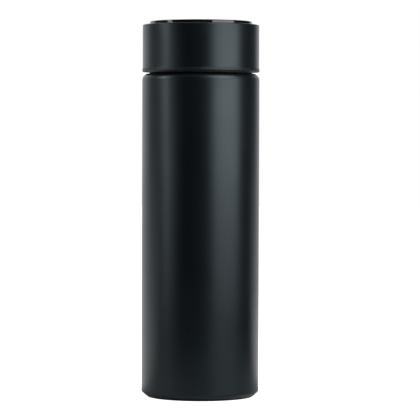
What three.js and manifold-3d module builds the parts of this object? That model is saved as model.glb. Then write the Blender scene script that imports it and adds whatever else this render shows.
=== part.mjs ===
// A 500 ml vacuum flask: a double-walled steel bottle closed by a screw lid. The lid carries a
// sealed stopper with a thermometer probe, and a coin-cell display under a glossy touch lens.
// Millimetres, +Z up, with the origin at the centre of the foot.

import * as THREE from "three";
import { mergeVertices } from "three/addons/utils/BufferGeometryUtils.js";
import Module from "manifold-3d";

// ---------------------------------------------------------------- driving dimensions

// Bottle
const BODY_R = 34; // outside radius of the body
const SHOULDER_Z = 187.3; // flat shoulder under the lid
const SHOULDER_ROUND = 4; // round at the shoulder's outer edge
const CHAMFER_FOOT = [31.4, 0.7]; // lower edge of the shell's base chamfer, radius and height
const CHAMFER_TOP_Z = 3.0;
const SHELL_T = 0.5; // sheet of the outer wall
const LINER_T = 0.4; // sheet of the inner wall
const LINER_R = 30.5; // inner wall, measured on its vacuum side
const LINER_FLOOR_Z = 6.9;
const LINER_CORNER_R = 6; // corners of the liner's floor and shoulder
const LINER_NECK_SWEEP_R = 3; // inward sweep from the liner's shoulder into the neck
const NECK_R = 25; // outside of the neck, the root of its thread
const NECK_FILLET_R = 1.2; // between the shoulder and the neck
const THROAT_R = 23.1; // liner inside the neck, on its vacuum side
const THROAT_Z = 186.5; // where the liner's neck starts
const RIM_ROUND = 0.7; // liner's roll over the neck's top edge
const RIM_UNDER_Z = 199.8; // underside of the rolled rim
const FOOT_H = 1.65; // foot ring
const FOOT_RING_R = [22.2, 30.6];

// Thread of neck and lid, right-handed, one start
const PITCH = 4;
const THREAD_DEPTH = 1.1;
const THREAD_Z = 190.6; // centre of the neck's ridge where it starts, at angle 0
const NECK_THREAD_DEG = [0, 580];
const LID_THREAD_DEG = [60, 560];
const LID_THREAD_DROP = 1.65; // the lid's ridge bears on the neck's ridge from below
const LID_THREAD_R = 26.45; // bore of the lid's skirt, the root of its thread
const RUN_OUT_DEG = 40; // each ridge fades in and out over this angle

// Lid, in a frame whose zero height is the bottle's shoulder
const LID_LIP = [34, 0.9]; // lower lip, radius and height
const LID_R = 33.75; // side of the lid above its lip
const LID_TOP = 28.2; // steel top edge
const LID_SHELL_T = 0.6;
const LID_ROUND = 1.2;
const LENS_HOLE_R = 30.1;
const CORE_R = 32.95; // plastic core inside the steel shell
const SKIRT_R = 28.3; // outside of the threaded skirt
const DECK_UNDER = 15.1; // deck that carries the stopper below and the display above
const DECK_TOP = 16.7;
const STOPPER_R = 20.7;
const STOPPER_FLOOR = 2.7;
const STOPPER_WALL = 1.5;
const POST_RING_R = 16.3; // circle of the stopper's screw posts
const POST_DEG = [60, 180, 300];
const WIRE_X = 16.4; // where the sensor leads cross the deck
const WIRE_HOLE_R = 2.4;
const LEAD_R = 0.55;
const LEAD_SPACING = 1.8;

// Display, in a frame whose zero height is the top of the lid's deck
const TRAY_R = 29.5;
const TRAY_TOP = 10.65;
const TRAY_FLOOR = [0.2, 1.4];
const CELL_R = 12.25; // 24.5 x 5.0 mm lithium coin cell
const CELL_H = 5;
const CELL_Z = 1.9;
const BOARD_R = 26.2;
const BOARD_Z = [7.5, 8.5];
const BOARD_POST_RING_R = 23.2;
const BOARD_POST_DEG = [30, 150, 270];
const LENS_R = 29.8;
const LENS_Z = [11, 13.4];

// Facets round a full turn
const SEGMENTS = 36; // large round pieces, all with the same corners
const SMALL_SEGMENTS = 20;
const SCREW_SEGMENTS = 12;

const PAINT = { color: 0x0e1113, roughness: 0.38, metalness: 0.2 };
const STEEL = { color: 0xb9bcbf, roughness: 0.3, metalness: 1.0 };
const SPRING_STEEL = { color: 0xc9c6bd, roughness: 0.35, metalness: 1.0 };
const COPPER = { color: 0xc07a4a, roughness: 0.25, metalness: 1.0 };
const BLACK_PLASTIC = { color: 0x17181a, roughness: 0.55, metalness: 0.0 };
const GLOSS_BLACK = { color: 0x050607, roughness: 0.06, metalness: 0.0 };
const SILICONE = { color: 0xc9ccce, roughness: 0.6, metalness: 0.0 };
const BLACK_RUBBER = { color: 0x151515, roughness: 0.8, metalness: 0.0 };
const FOAM = { color: 0xe9e7e0, roughness: 0.9, metalness: 0.0 };
const BOARD_GREEN = { color: 0x1f5a3a, roughness: 0.5, metalness: 0.0 };
const CHIP_BLACK = { color: 0x202022, roughness: 0.5, metalness: 0.0 };
const DISPLAY_SMOKE = { color: 0x2a2c2c, roughness: 0.4, metalness: 0.0 };
const TAPE_BLACK = { color: 0x101010, roughness: 0.85, metalness: 0.0 };
const SEAL_GLASS = { color: 0x9fb4b0, roughness: 0.15, metalness: 0.0 };
const GETTER_GREY = { color: 0x6d6c69, roughness: 0.85, metalness: 0.4 };
const RED_WIRE = { color: 0x9c1f1a, roughness: 0.5, metalness: 0.0 };
const BLACK_WIRE = { color: 0x1a1a1a, roughness: 0.5, metalness: 0.0 };

// ---------------------------------------------------------------- solids

const wasm = await Module();
wasm.setup();

function signedVolume(geometry) {
  const position = geometry.attributes.position;
  const index = geometry.index.array;
  const [a, b, c] = [new THREE.Vector3(), new THREE.Vector3(), new THREE.Vector3()];
  let sum = 0;
  for (let i = 0; i < index.length; i += 3) {
    a.fromBufferAttribute(position, index[i]);
    b.fromBufferAttribute(position, index[i + 1]);
    c.fromBufferAttribute(position, index[i + 2]);
    sum += a.dot(b.cross(c));
  }
  return sum / 6;
}

// A closed geometry with shared corners, no collapsed triangles and its faces outwards.
function closed(geometry) {
  const bare = geometry.clone();
  bare.deleteAttribute("normal");
  bare.deleteAttribute("uv");
  const merged = mergeVertices(bare);
  const corners = Array.from(merged.index.array);
  const kept = [];
  for (let i = 0; i < corners.length; i += 3) {
    const [a, b, c] = corners.slice(i, i + 3);
    if (a !== b && b !== c && c !== a) {
      kept.push(a, b, c);
    }
  }
  merged.setIndex(kept);
  if (signedVolume(merged) < 0) {
    merged.setIndex(kept.reverse());
  }
  return merged;
}

function toSolid(geometry) {
  const mesh = closed(geometry);
  const vertProperties = new Float32Array(mesh.attributes.position.array);
  const triVerts = new Uint32Array(mesh.index.array);
  return new wasm.Manifold(new wasm.Mesh({ numProp: 3, vertProperties, triVerts }));
}

function toGeometry(solid) {
  const mesh = solid.getMesh();
  const geometry = new THREE.BufferGeometry();
  geometry.setAttribute("position", new THREE.BufferAttribute(mesh.vertProperties, 3));
  geometry.setIndex(Array.from(mesh.triVerts));
  return geometry;
}

// Joins every geometry of `joined` and cuts every geometry of `cutters` out of the result.
function joinAndCut(joined, cutters = []) {
  let solid = toSolid(joined[0]);
  for (const piece of joined.slice(1)) {
    solid = solid.add(toSolid(piece));
  }
  for (const cutter of cutters) {
    solid = solid.subtract(toSolid(cutter));
  }
  return toGeometry(solid);
}

// Points [radius, height] of a circular arc, ends included.
function arc(centre, radius, startDeg, endDeg, steps) {
  const points = [];
  for (let i = 0; i <= steps; i += 1) {
    const angle = THREE.MathUtils.degToRad(startDeg + ((endDeg - startDeg) * i) / steps);
    points.push([centre[0] + radius * Math.cos(angle), centre[1] + radius * Math.sin(angle)]);
  }
  return points;
}

// Turns a profile of [radius, height] points about Z. A profile that starts and ends on the
// axis is left open there, and any other profile is closed on itself.
function revolve(profile, segments = SEGMENTS) {
  const points = profile.map(([radius, height]) => new THREE.Vector2(radius, height));
  const first = points[0];
  const last = points[points.length - 1];
  if (first.x > 0 || last.x > 0) {
    points.push(first.clone());
  }
  const turned = new THREE.LatheGeometry(points, segments);
  turned.rotateX(Math.PI / 2);
  return closed(turned);
}

// The closed profile of a sheet: the path, and the same path moved to its left by `thickness`.
function sheet(path, thickness) {
  const inner = path.map((point, i) => {
    const before = path[Math.max(i - 1, 0)];
    const after = path[Math.min(i + 1, path.length - 1)];
    const [inX, inY] = unit(before, point) ?? unit(point, after);
    const [outX, outY] = unit(point, after) ?? unit(before, point);
    const mitre = 1 + inX * outX + inY * outY;
    const shift = thickness / mitre;
    return [point[0] - (inY + outY) * shift, point[1] + (inX + outX) * shift];
  });
  return [...path, ...inner.reverse()];
}

function unit(from, to) {
  const length = Math.hypot(to[0] - from[0], to[1] - from[1]);
  if (length === 0) {
    return null;
  }
  return [(to[0] - from[0]) / length, (to[1] - from[1]) / length];
}

function ring(innerR, outerR, z0, z1, segments = SEGMENTS) {
  return revolve([[innerR, z0], [outerR, z0], [outerR, z1], [innerR, z1]], segments);
}

function disc(radius, z0, z1, segments = SEGMENTS) {
  return revolve([[0, z0], [radius, z0], [radius, z1], [0, z1]], segments);
}

function box(sizeX, sizeY, z0, z1) {
  return new THREE.BoxGeometry(sizeX, sizeY, z1 - z0).translate(0, 0, (z0 + z1) / 2);
}

function polar(radius, degrees) {
  const angle = THREE.MathUtils.degToRad(degrees);
  return [radius * Math.cos(angle), radius * Math.sin(angle)];
}

// Copies of a geometry on a circle, one at each angle.
function onCircle(geometry, radius, angles) {
  return angles.map((degrees) => geometry.clone().translate(...polar(radius, degrees), 0));
}

// A screw-thread ridge: a four-sided section that climbs one pitch each turn. It is rooted at
// `rootR`, a little inside its wall, and stands out to `crestR`, and both ends fade into the wall.
function threadRidge({ rootR, wallR, crestR, rootWidth, crestWidth, startZ, degrees }) {
  const [startDeg, endDeg] = degrees;
  const stepDeg = 360 / SEGMENTS;
  const sunkR = (rootR + wallR) / 2;
  const positions = [];
  const index = [];
  const steps = Math.round((endDeg - startDeg) / stepDeg);
  for (let i = 0; i <= steps; i += 1) {
    const degree = startDeg + i * stepDeg;
    const fade = Math.min((degree - startDeg) / RUN_OUT_DEG, (endDeg - degree) / RUN_OUT_DEG, 1);
    const topR = sunkR + (crestR - sunkR) * fade;
    const z = startZ + (PITCH * degree) / 360;
    const section = [
      [rootR, z - rootWidth / 2],
      [topR, z - crestWidth / 2],
      [topR, z + crestWidth / 2],
      [rootR, z + rootWidth / 2],
    ];
    for (const [radius, height] of section) {
      positions.push(...polar(radius, degree), height);
    }
  }
  for (let i = 0; i < steps; i += 1) {
    for (let k = 0; k < 4; k += 1) {
      const a = 4 * i + k;
      const b = 4 * i + ((k + 1) % 4);
      index.push(a, b, b + 4, a, b + 4, a + 4);
    }
  }
  const end = 4 * steps;
  index.push(0, 2, 1, 0, 3, 2);
  index.push(end, end + 1, end + 2, end, end + 2, end + 3);
  const ridge = new THREE.BufferGeometry();
  ridge.setAttribute("position", new THREE.Float32BufferAttribute(positions, 3));
  ridge.setIndex(index);
  return closed(ridge);
}

// A round wire along a curve.
function wire(curve, radius, steps, sides = 5) {
  const section = new THREE.Shape();
  section.setFromPoints(
    Array.from({ length: sides }, (_, i) => new THREE.Vector2(...polar(radius, (360 * i) / sides))),
  );
  const drawn = new THREE.ExtrudeGeometry(section, { steps, extrudePath: curve });
  return closed(drawn);
}

// A pan-head screw with a cross recess. Its head rests at height 0 and its shank points down.
function panHeadScrew({ headR, headH, shankR, length }) {
  const tipR = shankR * 0.55;
  const screw = revolve(
    [
      [0, -length],
      [tipR, -length],
      [shankR, tipR - length],
      [shankR, 0],
      [headR, 0],
      [headR, headH * 0.5],
      [headR * 0.7, headH],
      [0, headH],
    ],
    SCREW_SEGMENTS,
  );
  const slotLength = headR * 1.1;
  const slotWidth = headR * 0.28;
  const slotFloor = headH * 0.4;
  const slot = box(slotLength, slotWidth, slotFloor, headH + 1);
  const crossed = box(slotWidth, slotLength, slotFloor, headH + 1);
  return joinAndCut([screw], [slot, crossed]);
}

// ---------------------------------------------------------------- bottle

// The painted outer wall: chamfered base, straight side, shoulder and bare threaded neck.
function outerShell() {
  const shoulderCentre = [BODY_R - SHOULDER_ROUND, SHOULDER_Z - SHOULDER_ROUND];
  const filletCentre = [NECK_R + NECK_FILLET_R, SHOULDER_Z + NECK_FILLET_R];
  const path = [
    CHAMFER_FOOT,
    [BODY_R, CHAMFER_TOP_Z],
    ...arc(shoulderCentre, SHOULDER_ROUND, 0, 90, 4),
    ...arc(filletCentre, NECK_FILLET_R, 270, 180, 2),
    [NECK_R, RIM_UNDER_Z - 0.1],
  ];
  const thread = threadRidge({
    rootR: NECK_R - 0.3,
    wallR: NECK_R,
    crestR: NECK_R + THREAD_DEPTH,
    rootWidth: 2.4,
    crestWidth: 1.0,
    startZ: THREAD_Z,
    degrees: NECK_THREAD_DEG,
  });
  return joinAndCut([revolve(sheet(path, SHELL_T)), thread]);
}

// The steel liner that holds the drink, rolled outwards over the neck's top edge.
function innerLiner() {
  const cornerR = LINER_R - LINER_CORNER_R;
  const sweepX = THROAT_R + LINER_NECK_SWEEP_R;
  const reach = LINER_CORNER_R + LINER_NECK_SWEEP_R;
  const rise = Math.sqrt(reach ** 2 - (sweepX - cornerR) ** 2);
  const turnDeg = THREE.MathUtils.radToDeg(Math.atan2(rise, sweepX - cornerR));
  const rimStart = RIM_UNDER_Z - RIM_ROUND;
  const path = [
    [0, LINER_FLOOR_Z],
    ...arc([cornerR, LINER_FLOOR_Z + LINER_CORNER_R], LINER_CORNER_R, 270, 360, 3),
    ...arc([cornerR, THROAT_Z - rise], LINER_CORNER_R, 0, turnDeg, 3),
    ...arc([sweepX, THROAT_Z], LINER_NECK_SWEEP_R, 180 + turnDeg, 180, 2).slice(1),
    ...arc([THROAT_R + RIM_ROUND, rimStart], RIM_ROUND, 180, 90, 2),
    [NECK_R, RIM_UNDER_Z],
  ];
  return revolve(sheet(path, LINER_T));
}

// The base plate that closes the vacuum, dished up round its pump-out hole.
function baseDisc() {
  const path = [[1.2, 2.9], [7.5, 2.9], [9, 1.85], [31.6, 1.85]];
  return revolve(sheet(path, 0.6));
}

// The glass bead that was melted into the dish to seal the pump-out hole.
function vacuumSealBead() {
  return revolve([[0, 1.95], [2.6, 1.95], [3.4, 2.4], [3.4, 2.8], [0, 2.8]], SMALL_SEGMENTS);
}

// A spring strap under the getter pellet, with both ends bent up to the liner's floor.
function getterStrap() {
  const [halfLength, halfWidth, thickness, height] = [8, 2, 0.4, 2.1];
  const outline = new THREE.Shape();
  outline.moveTo(-halfLength, 0);
  outline.lineTo(halfLength, 0);
  outline.lineTo(halfLength, height);
  outline.lineTo(halfLength - thickness, height);
  outline.lineTo(halfLength - thickness, thickness);
  outline.lineTo(thickness - halfLength, thickness);
  outline.lineTo(thickness - halfLength, height);
  outline.lineTo(-halfLength, height);
  const strap = new THREE.ExtrudeGeometry(outline, { depth: 2 * halfWidth, bevelEnabled: false });
  return closed(strap.translate(0, 0, -halfWidth).rotateX(Math.PI / 2));
}

// The rubber ring that the flask stands on, with small chamfers at its foot.
function footRing() {
  const [innerR, outerR] = FOOT_RING_R;
  const edge = 0.3;
  return revolve([
    [innerR + edge, 0],
    [outerR - edge, 0],
    [outerR, edge],
    [outerR, FOOT_H],
    [innerR, FOOT_H],
    [innerR, edge],
  ]);
}

function makeBottle() {
  const bottle = new THREE.Group();
  addPart(bottle, "outer_shell", outerShell(), PAINT);
  addPart(bottle, "inner_liner", innerLiner(), STEEL);
  addPart(bottle, "base_disc", baseDisc(), STEEL);
  addPart(bottle, "vacuum_seal_bead", vacuumSealBead(), SEAL_GLASS);
  addPart(bottle, "getter_pellet", disc(4, 0, 1.6, SMALL_SEGMENTS), GETTER_GREY, [14, 0, 5.2]);
  addPart(bottle, "getter_strap", getterStrap(), SPRING_STEEL, [14, 0, 4.7]);
  addPart(bottle, "reflector_foil", ring(LINER_R + 0.3, LINER_R + 0.45, 15, 175), COPPER);
  addPart(bottle, "base_cover", disc(FOOT_RING_R[0] - 0.4, FOOT_H - 0.5, FOOT_H), BLACK_PLASTIC);
  addPart(bottle, "foot_ring", footRing(), BLACK_RUBBER);
  return bottle;
}

// ---------------------------------------------------------------- seal

// The silicone seal: a lipped band in the mouth and a flange squeezed on the rim.
function sealRing() {
  return revolve([
    [20.85, 9.7],
    [22.0, 9.7],
    [22.4, 10.1],
    [22.0, 10.7],
    [22.4, 11.3],
    [22.0, 11.9],
    [22.0, 13.1],
    [24.4, 13.1],
    [24.4, 14.0],
    [20.85, 14.0],
  ]);
}

function makeSeal() {
  const seal = new THREE.Group();
  addPart(seal, "seal_ring", sealRing(), SILICONE);
  return seal;
}

// ---------------------------------------------------------------- lid

// The lid's painted steel cap: a slightly wider lip, a straight side and a rounded top edge.
function lidShell() {
  const [lipR, lipZ] = LID_LIP;
  const path = [
    [lipR, lipZ],
    [lipR, lipZ + 1.1],
    [LID_R, lipZ + 1.7],
    ...arc([LID_R - LID_ROUND, LID_TOP - LID_ROUND], LID_ROUND, 0, 90, 2),
    [LENS_HOLE_R, LID_TOP + 0.1],
  ];
  return revolve(sheet(path, LID_SHELL_T));
}

// The plastic core: a deck across the lid, a threaded skirt below it, and flanges out to the cap.
function lidCore() {
  const flangeH = 1.6;
  const skirtFoot = 0.3;
  const skirtFlange = 1.4;
  const body = revolve([
    [0, DECK_UNDER],
    [LID_THREAD_R, DECK_UNDER],
    [LID_THREAD_R, skirtFoot + 0.8],
    [LID_THREAD_R + 0.55, skirtFoot],
    [30, skirtFoot],
    [30, skirtFlange],
    [CORE_R, skirtFlange],
    [CORE_R, skirtFlange + flangeH],
    [SKIRT_R, skirtFlange + flangeH],
    [SKIRT_R, DECK_UNDER],
    [CORE_R, DECK_UNDER],
    [CORE_R, DECK_TOP],
    [0, DECK_TOP],
  ]);
  const thread = threadRidge({
    rootR: LID_THREAD_R + 0.3,
    wallR: LID_THREAD_R,
    crestR: LID_THREAD_R - THREAD_DEPTH,
    rootWidth: 2.2,
    crestWidth: 0.9,
    startZ: THREAD_Z - SHOULDER_Z - LID_THREAD_DROP,
    degrees: LID_THREAD_DEG,
  });
  const screwHole = disc(1.4, DECK_UNDER - 1, DECK_TOP + 1, SCREW_SEGMENTS);
  const wireHole = disc(WIRE_HOLE_R, DECK_UNDER - 1, DECK_TOP + 1, SMALL_SEGMENTS);
  const holes = [...onCircle(screwHole, POST_RING_R, POST_DEG), wireHole.translate(WIRE_X, 0, 0)];
  return joinAndCut([body, thread], holes);
}

// The stopper: a cup that fills the mouth, with a rib and a flange that hold the seal between
// them, a hole for the probe in its floor and three screw posts inside.
function stopper() {
  const top = DECK_UNDER - 0.1;
  const innerR = STOPPER_R - STOPPER_WALL;
  const probeHoleR = 4.3;
  const floorTop = STOPPER_FLOOR + 1.6;
  const cup = revolve([
    [probeHoleR, STOPPER_FLOOR],
    [STOPPER_R - 1, STOPPER_FLOOR],
    [STOPPER_R, STOPPER_FLOOR + 1],
    [STOPPER_R, 8.3],
    [STOPPER_R + 1.2, 8.3],
    [STOPPER_R + 1.2, 9.5],
    [STOPPER_R, 9.5],
    [STOPPER_R, 14.1],
    [24.3, 14.1],
    [24.3, top],
    [innerR, top],
    [innerR, floorTop],
    [probeHoleR, floorTop],
  ]);
  const post = disc(2.4, floorTop - 0.3, top, SCREW_SEGMENTS);
  const pilot = disc(1.25, 8.7, top + 1, SCREW_SEGMENTS);
  const posts = onCircle(post, POST_RING_R, POST_DEG);
  return joinAndCut([cup, ...posts], onCircle(pilot, POST_RING_R, POST_DEG));
}

// The foam puck inside the stopper, bored for the sensor leads and notched round the posts.
function insulationPuck() {
  const puck = ring(3.9, STOPPER_R - STOPPER_WALL - 0.3, 7.5, 12.3);
  const notch = disc(2.8, 6.5, 13.3, SCREW_SEGMENTS);
  return joinAndCut([puck], onCircle(notch, POST_RING_R, POST_DEG));
}

// The thin steel finger that reaches into the drink, closed at its tip and flanged at the top.
function probeCap() {
  const profile = [
    [0, -3.7],
    [3.0, -3.7],
    [4.0, -2.7],
    [4.0, 0.8],
    [6.6, 0.8],
    [6.6, 1.6],
    [4.0, 1.6],
    [4.0, 7.3],
    [3.2, 7.3],
    [3.2, -2.3],
    [2.6, -2.9],
    [0, -2.9],
  ];
  return revolve(profile, SMALL_SEGMENTS);
}

// The hexagonal nut that clamps the probe to the stopper's floor.
function probeNut() {
  const acrossFlats = 10.5;
  const hexagon = disc(acrossFlats / Math.sqrt(3), 4.5, 6.7, 6);
  return joinAndCut([hexagon], [disc(4.2, 3.5, 7.7, SMALL_SEGMENTS)]);
}

// One sensor lead: up through the probe, over the foam and through the deck to the board.
function sensorLead(side) {
  const y = (side * LEAD_SPACING) / 2;
  const route = [
    [0, 0.9],
    [0, 5.5],
    [0, 10],
    [1.6, 12.6],
    [5, 13.4],
    [12.6, 13.4],
    [15.9, 14.2],
    [WIRE_X, 16.4],
    [WIRE_X, 20],
    [WIRE_X, 24],
  ];
  const curve = new THREE.CatmullRomCurve3(route.map(([x, z]) => new THREE.Vector3(x, y, z)));
  return wire(curve, LEAD_R, 20);
}

function makeStopperGroup() {
  const group = new THREE.Group();
  const screw = { headR: 2.1, headH: 1.3, shankR: 1.1, length: 7 };
  addPart(group, "stopper", stopper(), BLACK_PLASTIC);
  addPart(group, "insulation_puck", insulationPuck(), FOAM);
  addPart(group, "probe_cap", probeCap(), STEEL);
  const oRing = new THREE.TorusGeometry(5.3, 0.5, 6, SMALL_SEGMENTS);
  addPart(group, "probe_o_ring", closed(oRing), BLACK_RUBBER, [0, 0, 2.15]);
  addPart(group, "probe_nut", probeNut(), STEEL);
  const bead = new THREE.SphereGeometry(1.3, 12, 8);
  addPart(group, "thermistor_bead", closed(bead), BLACK_WIRE, [0, 0, -0.7]);
  addPart(group, "sensor_lead_1", sensorLead(1), RED_WIRE);
  addPart(group, "sensor_lead_2", sensorLead(-1), BLACK_WIRE);
  POST_DEG.forEach((degrees, i) => {
    const place = [...polar(POST_RING_R, degrees), DECK_TOP + 0.05];
    addPart(group, `stopper_screw_${i + 1}`, panHeadScrew(screw), STEEL, place);
  });
  return group;
}

// ---------------------------------------------------------------- display

// The round tray that holds the cell and the board and carries the lens on its rim.
function electronicsTray() {
  const [floorUnder, floorTop] = TRAY_FLOOR;
  const cellWall = [CELL_R + 0.35, CELL_R + 1.35, 4.6];
  const rimR = TRAY_R - 2.7;
  const wallR = TRAY_R - 1.2;
  const body = revolve([
    [0, floorUnder],
    [TRAY_R, floorUnder],
    [TRAY_R, TRAY_TOP],
    [rimR, TRAY_TOP],
    [rimR, TRAY_TOP - 1.25],
    [wallR, TRAY_TOP - 1.25],
    [wallR, floorTop],
    [cellWall[1], floorTop],
    [cellWall[1], cellWall[2]],
    [cellWall[0], cellWall[2]],
    [cellWall[0], floorTop],
    [0, floorTop],
  ]);
  const post = disc(2.2, floorTop - 0.2, BOARD_Z[0] - 0.1, SCREW_SEGMENTS);
  const pilot = disc(0.9, 3, BOARD_Z[0] + 1, SCREW_SEGMENTS);
  const headHole = disc(2.5, floorUnder - 1, floorTop + 1, SCREW_SEGMENTS);
  const wireHole = disc(WIRE_HOLE_R, floorUnder - 1, floorTop + 1, SMALL_SEGMENTS);
  return joinAndCut(
    [body, ...onCircle(post, BOARD_POST_RING_R, BOARD_POST_DEG)],
    [
      ...onCircle(pilot, BOARD_POST_RING_R, BOARD_POST_DEG),
      ...onCircle(headHole, POST_RING_R, POST_DEG),
      wireHole.translate(WIRE_X, 0, 0),
    ],
  );
}

// The coin cell, with the small step of its negative can at the bottom.
function coinCell() {
  const profile = [
    [0, 0],
    [CELL_R - 1.4, 0],
    [CELL_R - 1.0, 0.5],
    [CELL_R, 0.9],
    [CELL_R, CELL_H],
    [0, CELL_H],
  ];
  return revolve(profile);
}

// The dished spring washer under the cell.
function cellContact() {
  return revolve([[2, 1.7], [7, 1.45], [7, 1.6], [2, 1.85]], SMALL_SEGMENTS);
}

// The sheet clip over the cell, soldered under the board, with a leg down each side.
function cellClip() {
  const [innerY, outerY, foot, under, top, width] = [12.55, 12.85, 4.9, 7.05, 7.3, 6];
  const outline = new THREE.Shape();
  outline.moveTo(-outerY, foot);
  outline.lineTo(-innerY, foot);
  outline.lineTo(-innerY, under);
  outline.lineTo(innerY, under);
  outline.lineTo(innerY, foot);
  outline.lineTo(outerY, foot);
  outline.lineTo(outerY, top);
  outline.lineTo(-outerY, top);
  const clip = new THREE.ExtrudeGeometry(outline, { depth: width, bevelEnabled: false });
  return closed(clip.translate(0, 0, -width / 2).rotateX(Math.PI / 2).rotateZ(Math.PI / 2));
}

function circuitBoard() {
  const screwHole = disc(1.25, BOARD_Z[0] - 1, BOARD_Z[1] + 1, SCREW_SEGMENTS);
  const holes = onCircle(screwHole, BOARD_POST_RING_R, BOARD_POST_DEG);
  return joinAndCut([disc(BOARD_R, ...BOARD_Z)], holes);
}

// The segment display: a flat block with a shallow window in its top.
function displayModule() {
  return joinAndCut([box(26, 14, 0, 2)], [box(22, 10, 1.6, 3)]);
}

// The coil that carries the touch of a finger on the lens down to the board.
function touchSpring() {
  const [coilR, wireR, turns, height] = [2.4, 0.3, 3, 1.5];
  class Coil extends THREE.Curve {
    getPoint(t, target = new THREE.Vector3()) {
      return target.set(...polar(coilR, 360 * turns * t), height * t);
    }
  }
  return wire(new Coil(), wireR, turns * 10);
}

function displayLens() {
  const bevel = 0.35;
  const [under, top] = LENS_Z;
  return revolve([[0, under], [LENS_R, under], [LENS_R, top - bevel], [LENS_R - bevel, top], [0, top]]);
}

function makeDisplay() {
  const display = new THREE.Group();
  const screw = { headR: 1.8, headH: 1.1, shankR: 0.75, length: 4.4 };
  const partsZ = BOARD_Z[1] + 0.05;
  addPart(display, "electronics_tray", electronicsTray(), BLACK_PLASTIC);
  addPart(display, "coin_cell", coinCell(), STEEL, [0, 0, CELL_Z]);
  addPart(display, "cell_contact", cellContact(), SPRING_STEEL);
  addPart(display, "cell_clip", cellClip(), SPRING_STEEL);
  addPart(display, "circuit_board", circuitBoard(), BOARD_GREEN);
  addPart(display, "controller_chip", box(7, 7, 0, 1), CHIP_BLACK, [-9, -12, partsZ]);
  addPart(display, "display_module", displayModule(), DISPLAY_SMOKE, [0, 3, partsZ]);
  addPart(display, "touch_spring", touchSpring(), SPRING_STEEL, [8, -12, partsZ + 0.45]);
  addPart(display, "lens_tape", ring(TRAY_R - 2.7, TRAY_R - 0.1, 10.75, 10.95), TAPE_BLACK);
  addPart(display, "display_lens", displayLens(), GLOSS_BLACK);
  BOARD_POST_DEG.forEach((degrees, i) => {
    const place = [...polar(BOARD_POST_RING_R, degrees), partsZ];
    addPart(display, `board_screw_${i + 1}`, panHeadScrew(screw), STEEL, place);
  });
  return display;
}

function makeLid() {
  const lid = new THREE.Group();
  addPart(lid, "lid_shell", lidShell(), PAINT);
  addPart(lid, "lid_core", lidCore(), BLACK_PLASTIC);
  lid.add(makeStopperGroup());
  const display = makeDisplay();
  display.position.z = DECK_TOP;
  lid.add(display);
  return lid;
}

// ---------------------------------------------------------------- assembly

function addPart(group, name, geometry, finish, place = [0, 0, 0]) {
  const mesh = new THREE.Mesh(geometry, new THREE.MeshStandardMaterial(finish));
  mesh.name = name;
  mesh.position.set(...place);
  group.add(mesh);
}

const flask = new THREE.Group();
flask.add(makeBottle());
for (const part of [makeSeal(), makeLid()]) {
  part.position.z = SHOULDER_Z;
  flask.add(part);
}

export default flask;
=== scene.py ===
# A matte black vacuum flask with a screw lid and a glossy touch display, on a pale studio floor.
# Lengths in the profiles are millimetres, as [radius, height] pairs; every mesh is made in metres.
import math

import bmesh
import bpy
from mathutils import Matrix, Vector


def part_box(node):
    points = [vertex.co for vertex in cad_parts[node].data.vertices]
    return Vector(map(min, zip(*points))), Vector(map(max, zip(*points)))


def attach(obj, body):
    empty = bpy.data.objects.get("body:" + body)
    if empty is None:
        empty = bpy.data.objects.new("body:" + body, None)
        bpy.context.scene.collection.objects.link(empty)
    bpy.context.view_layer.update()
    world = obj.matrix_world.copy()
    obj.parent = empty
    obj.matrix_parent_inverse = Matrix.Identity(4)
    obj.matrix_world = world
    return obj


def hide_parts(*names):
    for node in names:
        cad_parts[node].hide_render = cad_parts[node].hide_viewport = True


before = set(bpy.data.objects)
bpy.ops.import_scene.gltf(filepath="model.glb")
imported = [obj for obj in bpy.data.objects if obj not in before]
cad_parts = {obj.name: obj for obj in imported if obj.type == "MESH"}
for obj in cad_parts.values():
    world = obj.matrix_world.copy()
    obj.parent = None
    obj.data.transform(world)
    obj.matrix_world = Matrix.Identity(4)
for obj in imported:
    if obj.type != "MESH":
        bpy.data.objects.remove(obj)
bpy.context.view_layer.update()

MM = 0.001

# -------------------------------------------- sizes, as in the CAD model

BODY_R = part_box("outer_shell")[1].x / MM
SHOULDER_Z = 187.3             # flat shoulder; the lid's own heights start here
SHOULDER_ROUND = 4.0
NECK_R = 25.0
RIM_UNDER_Z = 199.8
DECK_TOP = 16.7                # top of the lid's deck, where the display's own heights start
DISPLAY_Z = SHOULDER_Z + DECK_TOP
BOARD_TOP = 8.55               # where the board's parts stand, in the display's heights
CONTROLLER_SPOT = (-9.0, -12.0)

THREAD_PITCH = 4.0
THREAD_DEPTH = 1.1
THREAD_Z = 190.6
LID_THREAD_R = 26.45

STOPPER_POSTS = (16.3, (60, 180, 300))    # circle and angles of the stopper's screws
BOARD_POSTS = (23.2, (30, 150, 270))      # and of the board's
WIRE_X = 16.4                  # where the sensor leads cross the deck
WIRE_HOLE_R = 2.4

WINDOW_CENTRE = (0.0, 0.003)   # where the display shows through the lens, in metres
WINDOW_SIZE = (0.026, 0.014)

SEGMENTS = 192                 # facets round a large piece
SMALL = 96                     # facets round a small piece
TINY = 32                      # facets round a screw or hole
PIN_TURN = 3.1                 # degrees that turn a pin's edges away from those of a carved piece
SHARP_DEGREES = 35             # edges that turn by more than this are shaded sharp
SAME = 1e-6                    # lengths that differ by less are the same


def shown(name, data):
    """A new object in the scene."""
    thing = bpy.data.objects.new(name, data)
    bpy.context.scene.collection.objects.link(thing)
    return thing


# -------------------------------------------- camera

CAMERA_DISTANCE = 1.406
EYE_HEIGHT = 0.149
CAMERA_SIDE = 0.0054           # the flask stands a little left of the frame's middle
LENS_MM = 207.5
PITCH_DOWN = 1.662             # degrees, as is the roll
ROLL = -0.19


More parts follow.
